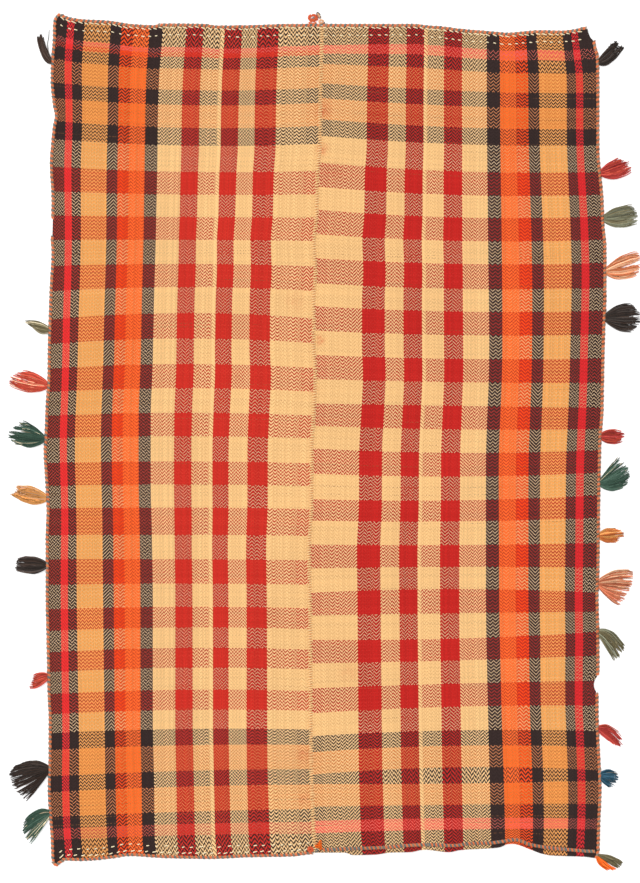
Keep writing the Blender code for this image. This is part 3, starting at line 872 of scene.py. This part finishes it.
def make_yarn_material(dye, turns, fading=0.30, depth=0.36, shade=""):
    """Plied wool in one dye and shade. Depth is how dark the painted shade in its ply grooves is."""
    tint = TONE_AND_SHADE_TINTS[shade]
    dyed = [value * tint + 0.04 * max(tint - 1.0, 0.0) for value in linear(dye)]
    material, tree, shader = new_wool("yarn " + dye.replace("_", " ") + shade, 0.15)
    place = added(tree, "SeparateXYZ", {"Vector": added(tree, "UVMap", {})["UV"]})
    twist = sums(tree, "MULTIPLY_ADD", place["Y"], PLIES, times(tree, place["X"], turns))
    ply = arch(tree, sums(tree, "FRACT", twist))
    wool = placed_group(tree, WORN_WOOL, Color=(*dyed, 1.0), Fading=fading, Mottling=0.5, Hair=420.0)
    # Painted shade in the grooves between the plies, and a little painted light on their crests
    painted_groove_shade = ranged(tree, ply, 0.0, 1.0, 1.06 - depth, 1.06)
    wire(tree, tinted(tree, wool["Color"], painted_groove_shade), shader["Base Color"])
    wire(tree, bumped(tree, ply, PLY_RELIEF, 0.7), shader["Normal"])
    return material


# %% Yarn helper
Yarn = namedtuple("Yarn", "points dye thick thin")


def lay_yarns(name, yarns, materials, sides=1):
    """Make one mesh of round yarns, each along its own points and thinned at its end."""
    dyes = sorted({yarn.dye for yarn in yarns})
    curve = bpy.data.curves.new(name, "CURVE")
    curve.dimensions = "3D"
    curve.bevel_depth = 1.0
    curve.bevel_resolution = sides
    curve.use_fill_caps = True
    for dye in dyes:
        curve.materials.append(materials[dye])
    for yarn in yarns:
        spline = curve.splines.new("POLY")
        spline.points.add(len(yarn.points) - 1)
        spline.material_index = dyes.index(yarn.dye)
        spline.use_smooth = True
        last = len(yarn.points) - 1
        for k, (point, place) in enumerate(zip(spline.points, yarn.points)):
            point.co = (*place, 1.0)
            point.radius = 0.5 * (yarn.thick + (yarn.thin - yarn.thick) * (k / last) ** 2)
    holder = bpy.data.objects.new(name, curve)
    mesh = bpy.data.meshes.new_from_object(holder)
    bpy.data.objects.remove(holder)
    mesh.name = name
    piece = link(name, mesh)
    print(name, len(yarns), "yarns,", sum(len(face.vertices) - 2 for face in mesh.polygons), "triangles")
    return piece


def dress(name, node, yarns, materials, sides=1):
    """Lay yarns over a node's plain solid, and show them in its place."""
    piece = lay_yarns(name, yarns, materials, sides)
    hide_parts(node)
    return piece


SEWING = {
    dye: make_yarn_material(dye, 2.0)
    for dye in ("edging_orange", "edging_grey", "edging_blue", "edging_brown")
}
for dye in ("thread", "seam_thread", "seam_crossing"):
    SEWING[dye] = make_yarn_material(dye, 2.0, fading=0.1, depth=0.12)

# %% [markdown]
# The overcasting wraps the edge all the way round in pairs of turns, orange and blue-grey by turns. A
# wrap starts on the face a few millimetres in, slants over the edge and ends beside the floor. The turns
# are walked off along the edge at an even pitch.

# %% Walk along an edge
WRAP_PITCH = 2.85 * MM
WRAP_THICK = 2.9 * MM
WRAP_START = 3.0 * MM
ORANGE_OUT = -0.3
COOL_OUT = 0.6


def edge_points(line, axis, start, end):
    """Places along an edge from one end of a run to the other. Axis 1 is an edge that runs up the rug."""
    count = max(int((end - start) / 4), 2)
    along = [(start + (end - start) * k / count) * MM for k in range(count + 1)]
    if axis == 1:
        return [Vector((follow(line, at), at, 0.0)) for at in along]
    return [Vector((at, follow(line, at), 0.0)) for at in along]


def walk(points, pitch, side):
    """Evenly spaced (place, along, outward) on a line of points, with outward on its right for side 1."""
    steps = []
    left_over = 0.0
    for before, after in zip(points, points[1:]):
        leg = after - before
        along = leg.normalized()
        outward = Vector((along.y, -along.x, 0.0)) * side
        while left_over < leg.length:
            steps.append((before + along * left_over, along, outward))
            left_over += pitch
        left_over -= leg.length
    return steps


def wrap_path(place, along, outward, face, chooser, shift):
    """One turn of the overcasting, from the face of the cloth over its edge and down to the floor."""
    loose = chooser.uniform(-0.4, 0.4) + shift
    profile = [
        (-2.2, face + 0.1, -1.3), (-1.3, face + 0.9, -1.0), (0.4, face + 1.2, -0.3),
        (2.0, face * 0.6 + 1.7, 0.4), (3.3, 2.6, 0.9), (3.5, 1.6, 1.1), (2.4, 1.4, 1.2),
    ]
    return [
        place + outward * ((out + loose) * MM) + along * (slant * MM) + Vector((0.0, 0.0, up * MM))
        for out, up, slant in profile
    ]


def overcast(name, node, points, side, out, cool_dyes, seed):
    """Overcast one run of the edge, some way out from it, and replace its plain bead."""
    chooser = random.Random(seed)
    yarns = []
    for k, (place, along, outward) in enumerate(walk(points, WRAP_PITCH, side)):
        inside = place - outward * WRAP_START
        face = float(surface_height(inside.x, inside.y)) / MM
        orange = (k // 2) % 2 == 0
        shift = out + (ORANGE_OUT if orange else COOL_OUT)
        path = wrap_path(place, along, outward, face, chooser, shift)
        thick = WRAP_THICK * chooser.uniform(0.92, 1.12)
        dye = "edging_orange" if orange else chooser.choice(cool_dyes)
        yarns.append(Yarn(path, dye, thick, thick * 0.9))
    return dress(name, node, yarns, SEWING)


# %% Overcast the edges
Run = namedtuple("Run", "node line axis side start end out cool_dyes")
COOL = ("edging_grey", "edging_blue")
BROWNER = ("edging_brown", "edging_grey")
RUNS = table(
    Run,
    ("edging_left_lower", LEFT_SIDE, 1, -1, -1020, 489, 0.0, COOL),
    ("edging_left_upper", LEFT_SIDE, 1, -1, 531, 1015, 0.0, COOL),
    ("edging_right_upper", RIGHT_SIDE, 1, 1, -564, 956, 0.0, BROWNER),
    ("edging_right_lower", RIGHT_SIDE, 1, 1, -1002, -608, 0.0, BROWNER),
    ("edging_top_left", TOP_EDGE, 0, -1, -640, -11, 2.0, COOL),
    ("edging_top_right", TOP_EDGE, 0, -1, -4, 628, 2.0, COOL),
    ("edging_bottom_left", BOTTOM_EDGE, 0, 1, -645, -30, 0.0, COOL),
)
for number, run in enumerate(RUNS):
    points = edge_points(run.line, run.axis, run.start, run.end)
    overcast("yarn_" + run.node, run.node, points, run.side, run.out, run.cool_dyes, 20 + number)

# %% [markdown]
# At the bottom right the overcasting was worked through the hem a finger's width inside the edge, so it
# lies on top of the cloth as a row of short upright stitches.

# %% Overcasting on the face
INNER_PITCH = 2.5 * MM
INNER_REACH = 3.3
INNER_RUN = (-4, 648)
STITCH = ((-1.0, 0.2), (-0.75, 1.2), (-0.2, 1.7), (0.4, 1.7), (0.85, 1.2), (1.0, 0.2))
GREY_SHARE = 0.12


def face_stitches(name, node, line, seed):
    """Upright stitches on the face of the cloth, along a line inside its edge."""
    chooser = random.Random(seed)
    yarns = []
    for k, (place, along, outward) in enumerate(walk(edge_points(line, 0, *INNER_RUN), INNER_PITCH, 1)):
        face = float(surface_height(place.x, place.y)) / MM
        slant = 1.2 + chooser.uniform(-0.4, 0.4)
        path = [
            place + outward * (share * INNER_REACH * MM) + along * (share * slant * MM)
            + Vector((0.0, 0.0, (face + up) * MM)) for share, up in STITCH
        ]
        dye = "edging_blue" if (k // 2) % 2 else "edging_orange"
        if chooser.random() < GREY_SHARE:
            dye = "edging_grey"
        yarns.append(Yarn(path, dye, 2.4 * MM, 2.2 * MM))
    return dress(name, node, yarns, SEWING)


face_stitches("yarn_edging_bottom_right", "edging_bottom_right", INNER_LINE, 40)

# %% [markdown]
# Cream thread laces the two selvedges together, bar after bar like a ladder, each bar a little slanted.
# Between the bars a thinner light brown thread is laid on the face as painted shade, for the dark holes
# where the thread crosses back underneath.

# %% Middle seam
SEAM_PITCH = 6.1
SEAM_REACH = 4.6
SEAM_END = 986.0
BAR = ((-1.0, 0.0), (-0.7, 0.8), (0.0, 1.0), (0.7, 0.8), (1.0, 0.0))
BAR_LIFT = 1.3
CROSSING_LIFT = 0.3
CROSSING_THICK = 1.9 * MM


def seam_bar(y, left, right, tilt, lift):
    """Points of one thread laid across the seam at a height up the rug."""
    middle = follow(SEAM, y)
    path = []
    for share, up in BAR:
        x = middle + (left if share < 0.0 else right) * abs(share) * MM
        at = y + tilt * share * MM
        path.append(on_cloth(x, at, up * lift + 0.1))
    return path


def lace_seam():
    """Lace the two panels together from the bottom edge to the top."""
    chooser = random.Random(51)
    yarns = []
    height = -SEAM_END
    while height < SEAM_END:
        step = SEAM_PITCH * chooser.uniform(0.85, 1.12)
        left = -SEAM_REACH - chooser.uniform(-0.8, 1.0)
        right = SEAM_REACH + chooser.uniform(-0.8, 1.0)
        thick = chooser.uniform(2.2, 2.8) * MM
        path = seam_bar(height * MM, left, right, chooser.uniform(0.3, 1.6), BAR_LIFT)
        yarns.append(Yarn(path, "seam_thread", thick, thick * 0.85))
        # A light brown thread between the bars, low on the cloth: painted shade for the holes there
        crossing = seam_bar((height + 0.5 * step) * MM, left, right, -0.35 * step, CROSSING_LIFT)
        yarns.append(Yarn(crossing, "seam_crossing", CROSSING_THICK, CROSSING_THICK))
        height += step
    return lay_yarns("seam_lacing", yarns, SEWING)


lacing = lace_seam()

# %% [markdown]
# Two rows of running stitches hold each hem. Only the dashes on the face show: the thread dips under the
# cloth between them. The dashes of the outer row are longer and lean a little.

# %% Hem stitches
Dashes = namedtuple("Dashes", "line down start end pitch length lean")
DASHES = table(
    Dashes,
    (TOP_EDGE, 3, -630, 620, 14.5, 9.0, -1.5),
    (TOP_EDGE, 21, -632, 616, 17.5, 5.5, -0.5),
    (BOTTOM_EDGE, -9, -632, -40, 17, 7.5, 1.0),
    (BOTTOM_EDGE, -24, -634, -30, 22, 6.0, 0.5),
)
DASH = ((-0.5, -0.2), (-0.36, 0.6), (0.0, 0.9), (0.36, 0.6), (0.5, -0.2))


def hem_stitches():
    """Running stitches along both hems."""
    chooser = random.Random(60)
    yarns = []
    for row in DASHES:
        at = float(row.start)
        while at < row.end:
            length = row.length * chooser.uniform(0.7, 1.25)
            down = row.down + chooser.uniform(-1.2, 1.2)
            path = []
            for share, up in DASH:
                x = (at + share * length) * MM
                y = follow(row.line, x) - (down - row.lean * share * 2.0) * MM
                path.append(on_cloth(x, y, up))
            yarns.append(Yarn(path, "thread", 2.7 * MM, 2.4 * MM))
            at += row.pitch * chooser.uniform(0.85, 1.15)
    return lay_yarns("hem_stitches", yarns, SEWING)


hems = hem_stitches()

# %% [markdown]
# A tassel is a handful of cut wool tied to the edging, combed out by use and pressed flat by its own
# weight. The table says which way it points, where its root is and where its tips end, the same sizes as
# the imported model's. Its yarns fan out from the root and gather towards the middle of their lock, and no
# two are as long. Most tassels have some yarns of a second dye mixed in, and the one at the corner has them
# on one side.

# %% Table of tassels
Tassel = namedtuple("Tassel", "name facing root first middle last knot yarns locks dye second share")


def numbered(side, facing, *rows):
    """The tassels of one side, numbered from the top."""
    return [Tassel(f"tassel_{side}_{k}", facing, *row) for k, row in enumerate(rows, 1)]


TASSELS = numbered(
    "left", 180,
    ((-659, 908), (-694, 960), (-685, 971), (-677, 967), 11, 40, 2, "brown", "steel", 0.06),
    ((-667, 263), (-726, 284), (-712, 277), (-706, 272), 13, 30, 1, "olive", "pale", 0.10),
    ((-668, 131), (-721, 167), (-753, 151), (-757, 128), 14, 56, 2, "scarlet", "peach", 0.15),
    ((-674, 2), (-718, 49), (-761, 12), (-728, -17), 13, 76, 3, "green", "pale", 0.08),
    ((-670, -140), (-741, -109), (-744, -124), (-760, -133), 14, 48, 2, "amber", "peach", 0.15),
    ((-672, -302), (-733, -281), (-744, -301), (-738, -316), 15, 60, 2, "dark", "brown", 0.30),
    ((-667, -570), (-700, -566), (-705, -582), (-712, -599), 14, 40, 3, "scarlet", "ruby", 0.30),
    ((-666, -792), (-740, -780), (-757, -816), (-716, -872), 17, 110, 4, "dark", "brown", 0.40),
    ((-664, -899), (-718, -909), (-725, -940), (-704, -973), 16, 80, 3, "green", "pale", 0.10),
) + numbered(
    "right", 0,
    ((661, 906), (697, 961), (709, 948), (720, 938), 13, 40, 2, "dark", "brown", 0.15),
    ((666, 640), (697, 674), (732, 663), (734, 640), 14, 60, 2, "ruby", "scarlet", 0.35),
    ((675, 530), (733, 564), (750, 543), (748, 514), 15, 74, 3, "grey_green", "olive", 0.35),
    ((676, 404), (750, 452), (758, 424), (745, 386), 15, 80, 2, "salmon", "peach", 0.35),
    ((674, 292), (728, 329), (758, 294), (733, 256), 17, 100, 4, "dark", "brown", 0.20),
    ((664, 7), (718, 19), (719, 5), (711, -7), 15, 44, 3, "ruby", "scarlet", 0.30),
    ((663, -104), (698, -41), (731, -75), (717, -119), 16, 90, 4, "green", "pale", 0.06),
    ((662, -231), (689, -211), (718, -227), (693, -248), 14, 44, 3, "ochre", "amber", 0.35),
    ((661, -346), (736, -311), (736, -350), (703, -404), 18, 90, 3, "coral", "peach", 0.25),
    ((662, -464), (721, -492), (711, -516), (692, -533), 16, 60, 2, "olive", "grey_green", 0.40),
    ((662, -694), (707, -698), (712, -736), (681, -720), 13, 40, 3, "ruby", "scarlet", 0.30),
    ((663, -808), (694, -793), (704, -814), (680, -839), 18, 56, 4, "teal", "steel", 0.05),
    ((656, -1001), (719, -1014), (700, -1031), (677, -1031), 10, 66, 2, "orange_scrap", "olive", 0.50),
)
CORNER = TASSELS[-1]._replace(facing=-45)
TASSELS[-1] = CORNER
LOOPED = ("tassel_left_5", "tassel_right_1")
print("tassels:", len(TASSELS), "with", sum(tassel.yarns for tassel in TASSELS), "yarns")

# %% Fan out a tassel
TASSEL_YARN = 2.8 * MM
FULLNESS = 1.45
EDGING_CLEAR = 6.0 * MM
GATHERED = 0.80
RAGGED = 0.32
SCATTER = 2.5 * MM
BELLY = 0.62
WAVE = 5.5 * MM
YARN_STEPS = 9
LOWEST = 1.1 * MM


def directions(tassel):
    """Unit vectors on the floor, out along a tassel and square to that."""
    angle = math.radians(tassel.facing)
    outward = Vector((math.cos(angle), math.sin(angle), 0.0))
    return outward, Vector((-outward.y, outward.x, 0.0))


def floor_place(pair):
    """A table's pair of millimetres as a place on the floor."""
    return Vector((pair[0] * MM, pair[1] * MM, 0.0))


def tip_place(tassel, share):
    """A place on the curve through the tassel's tips, drawn in to the middle of its lock."""
    bunch = (math.floor(min(share, 0.999) * tassel.locks) + 0.5) / tassel.locks
    t = bunch + (share - bunch) * GATHERED
    first, middle, last = (floor_place(pair) for pair in (tassel.first, tassel.middle, tassel.last))
    ends = first * (1.0 - t) * (1.0 - 2.0 * t) + last * t * (2.0 * t - 1.0)
    return ends + middle * 4.0 * t * (1.0 - t)


def root_place(tassel):
    """The root of a tassel, at the outside of the edging."""
    root = floor_place(tassel.root)
    if tassel.facing == 180:
        root.x = follow(LEFT_SIDE, root.y) - EDGING_CLEAR
    elif tassel.facing == 0:
        root.x = follow(RIGHT_SIDE, root.y) + EDGING_CLEAR
    return root


def tassel_yarn(tassel, share, chooser):
    """Points of one yarn, from inside the root out to its ragged tip."""
    outward, sideways = directions(tassel)
    if sideways.dot(floor_place(tassel.last) - floor_place(tassel.first)) < 0.0:
        sideways = -sideways
    aside = share - 0.5
    start = root_place(tassel) - outward * 2.0 * MM + sideways * (aside * 1.05 * tassel.knot * MM)
    reach = 1.0 - RAGGED * chooser.random() ** 1.4
    scatter = sideways * chooser.uniform(-SCATTER, SCATTER)
    tip = start + (tip_place(tassel, share) - start) * reach + scatter
    length = (tip - start).length
    aim = (tip - start).normalized() * 0.62 + outward * 0.38
    bend = start + aim.normalized() * length * 0.45 + sideways * (aside * BELLY * length)
    layer = chooser.random()
    sway = chooser.uniform(0.0, 6.28)
    crimp = chooser.uniform(0.5, 1.3) * MM
    points = []
    for k in range(YARN_STEPS + 1):
        s = k / YARN_STEPS
        place = start * (1 - s) ** 2 + bend * 2 * s * (1 - s) + tip * s * s
        place += sideways * (math.sin(sway + s * length / WAVE) * crimp * s)
        rise = 1.85 + (2.5 + 1.6 * math.sin(math.pi * min(s * 1.4, 1.0))) * layer * (1.0 - 0.55 * s)
        place.z = max(rise * MM + chooser.uniform(-0.15, 0.15) * MM, LOWEST)
        points.append(place)
    if tassel.name in LOOPED and chooser.random() < 0.6:
        back = points[-1] - outward * 7.0 * MM + sideways * chooser.uniform(-3.0, 3.0) * MM
        points.append(points[-1] + sideways * chooser.uniform(-1.5, 1.5) * MM + Vector((0, 0, 1.6 * MM)))
        points.append(Vector((back.x, back.y, points[-1].z)))
    return points


def knot_loops(tassel, chooser):
    """Turns of the same wool round the root, which tie the tassel to the edging."""
    outward, sideways = directions(tassel)
    root = root_place(tassel)
    loops = []
    for k in range(3):
        half = 0.46 * tassel.knot * MM * (1.0 - 0.08 * k)
        out = (0.4 + 1.9 * k) * MM
        path = []
        for step in range(8):
            angle = math.pi * (0.02 + 0.96 * step / 7)
            ahead = outward * (out + chooser.uniform(-0.3, 0.3) * MM)
            place = root + ahead + sideways * (math.cos(angle) * half)
            place.z = (1.3 + 3.7 * math.sin(angle)) * MM
            path.append(place)
        loops.append(Yarn(path, tassel.dye, 2.3 * MM, 2.1 * MM))
    return loops


WOOL = {
    dye + shade: make_yarn_material(dye, 14.0, fading=0.35, shade=shade)
    for dye in sorted({tassel.dye for tassel in TASSELS} | {tassel.second for tassel in TASSELS})
    for shade in TONE_AND_SHADE_TINTS
}
print("wools:", sorted(WOOL))

# %% Make the tassels
LOOSE_END = ((-660, 914), (-664, 932), (-666, 950), (-663, 966), (-662, 983))
for number, tassel in enumerate(TASSELS):
    chooser = random.Random(100 + number)
    yarns = []
    count = round(tassel.yarns * FULLNESS)
    for k in range(count):
        share = min(max((k + 0.5) / count + chooser.uniform(-0.03, 0.03), 0.0), 1.0)
        is_second = share < tassel.share if tassel is CORNER else chooser.random() < tassel.share
        dye = tassel.second if is_second else tassel.dye
        thick = TASSEL_YARN * chooser.uniform(0.85, 1.2)
        # Some strands take a darker or lighter copy of their wool: varied tone, and painted light and shade.
        dye += chooser.choices(list(TONE_AND_SHADE_TINTS), weights=(6, 2, 2))[0]
        yarns.append(Yarn(tassel_yarn(tassel, share, chooser), dye, thick, thick * 0.55))
    yarns.extend(knot_loops(tassel, chooser))
    if tassel is TASSELS[0]:
        path = [Vector((x * MM, y * MM, 2.0 * MM)) for x, y in LOOSE_END]
        yarns.append(Yarn(path, "steel", 2.2 * MM, 1.6 * MM))
    dress("wool_" + tassel.name, tassel.name, yarns, WOOL, sides=0)

# %% [markdown]
# The ends of the seam are finished with scraps of yarn. At the top an orange loop lies beside a smaller
# grey one and a cream knob, and at the bottom a flattened orange loop is tied down by a grey knot.

# %% Tufts at the ends of the seam
Loop = namedtuple("Loop", "x y wide tall tilt dye turns thick")
TOP_LOOPS = table(
    Loop,
    (-29, 1012, 10.4, 7.6, 0, "flame_tuft", 2, 5.0), (-27, 1010, 2.6, 2.2, 0, "steel", 1, 3.0),
    (-15, 1018, 3.4, 7.8, 30, "steel", 1, 3.0), (-15, 1017, 1.4, 6.0, 30, "peach", 1, 2.8),
    (-20, 1010, 3.0, 4.0, 0, "flame_tuft", 1, 3.0), (-30, 1000, 9.0, 2.2, 0, "edging_orange", 1, 3.0),
    (-9, 1003, 5.6, 4.6, 10, "peach", 2, 3.4), (-4, 1000, 3.0, 2.6, 0, "dark", 1, 2.4),
    (-8, 994, 4.0, 2.4, 0, "steel", 1, 2.6), (-8, 990, 3.4, 1.2, 0, "peach", 1, 2.4),
)
BOTTOM_LOOPS = table(
    Loop,
    (-11, -967, 2.2, 5.0, 0, "orange_scrap", 1, 3.6), (-11, -978, 2.2, 5.0, 0, "orange_scrap", 1, 3.6),
    (-18, -976, 5.5, 2.6, -8, "orange_scrap", 1, 3.6), (-16, -971, 5.0, 2.0, 45, "orange_scrap", 1, 3.6),
    (-35, -983, 7.0, 6.0, -20, "flame_tuft", 3, 3.2), (-20, -986, 3.4, 3.0, 0, "steel", 2, 2.4),
)


def tuft(name, node, loops, floor_z, seed):
    """Small loops of yarn laid over one another."""
    chooser = random.Random(seed)
    yarns = []
    for loop in loops:
        tilt = math.radians(loop.tilt)
        for turn in range(loop.turns):
            shrink = 1.0 - 0.3 * turn
            start = chooser.uniform(0.0, 6.28)
            path = []
            for step in range(11):
                angle = start + 2.0 * math.pi * step / 10.5
                along = math.cos(angle) * loop.wide * shrink
                up = math.sin(angle) * loop.tall * shrink
                x = loop.x + along * math.cos(tilt) - up * math.sin(tilt)
                y = loop.y + along * math.sin(tilt) + up * math.cos(tilt)
                z = floor_z + (0.5 * loop.thick + 0.8 * turn + 0.3) * MM
                path.append(Vector((x * MM, y * MM, z)))
            yarns.append(Yarn(path, loop.dye, loop.thick * MM, 0.8 * loop.thick * MM))
    return dress(name, node, yarns, WOOL)


for dye in ("flame_tuft", "orange_scrap", "steel", "edging_orange", "dark", "peach"):
    if dye not in WOOL:
        WOOL[dye] = make_yarn_material(dye, 5.0)
top_tuft = tuft("yarn_tuft_top", "tuft_top", TOP_LOOPS, 0.0, 71)
bottom_tuft = tuft("yarn_tuft_bottom", "tuft_bottom", BOTTOM_LOOPS, HEM_THICKNESS + 0.6 * MM, 72)

# %% [markdown]
# The rug was cut from the loom as two lengths and hemmed. Both lie on a floor of white paper, and the
# sewing, edging and tassels go with them.

FLOOR_SIDE = 12.0
bpy.ops.mesh.primitive_plane_add(size=FLOOR_SIDE, location=(0.0, 0.0, 0.0))
floor = bpy.context.object
floor.name = "floor"
paper = bpy.data.materials.new("white paper")
paper.use_nodes = True
shader = paper.node_tree.nodes["Principled BSDF"].inputs
shader["Base Color"].default_value = (0.92, 0.92, 0.92, 1.0)
shader["Emission Color"].default_value = (1.0, 1.0, 1.0, 1.0)
shader["Emission Strength"].default_value = 0.35
floor.data.materials.append(paper)

# %% [markdown]
# The light is a bright even room with one broad lamp high on the left, just enough to show the relief of
# the yarns. The view stays plain, so white paper is white and the dyes keep their shades.

# %% Light
ROOM_LIGHT = 0.78
LAMP_POWER = 1.35

world = bpy.data.worlds.new("room")
world.use_nodes = True
background = world.node_tree.nodes["Background"].inputs
background["Color"].default_value = (1.0, 1.0, 1.0, 1.0)
background["Strength"].default_value = ROOM_LIGHT
bpy.context.scene.world = world
lamp = bpy.data.lights.new("lamp", "SUN")
lamp.energy = LAMP_POWER
lamp.angle = math.radians(14.0)
lamp_object = bpy.data.objects.new("lamp", lamp)
lamp_object.rotation_euler = (math.radians(-28.0), math.radians(-34.0), 0.0)
bpy.context.collection.objects.link(lamp_object)
bpy.context.scene.view_settings.view_transform = "Standard"
bpy.context.scene.view_settings.look = "None"
print("light: room", ROOM_LIGHT, "lamp", LAMP_POWER)
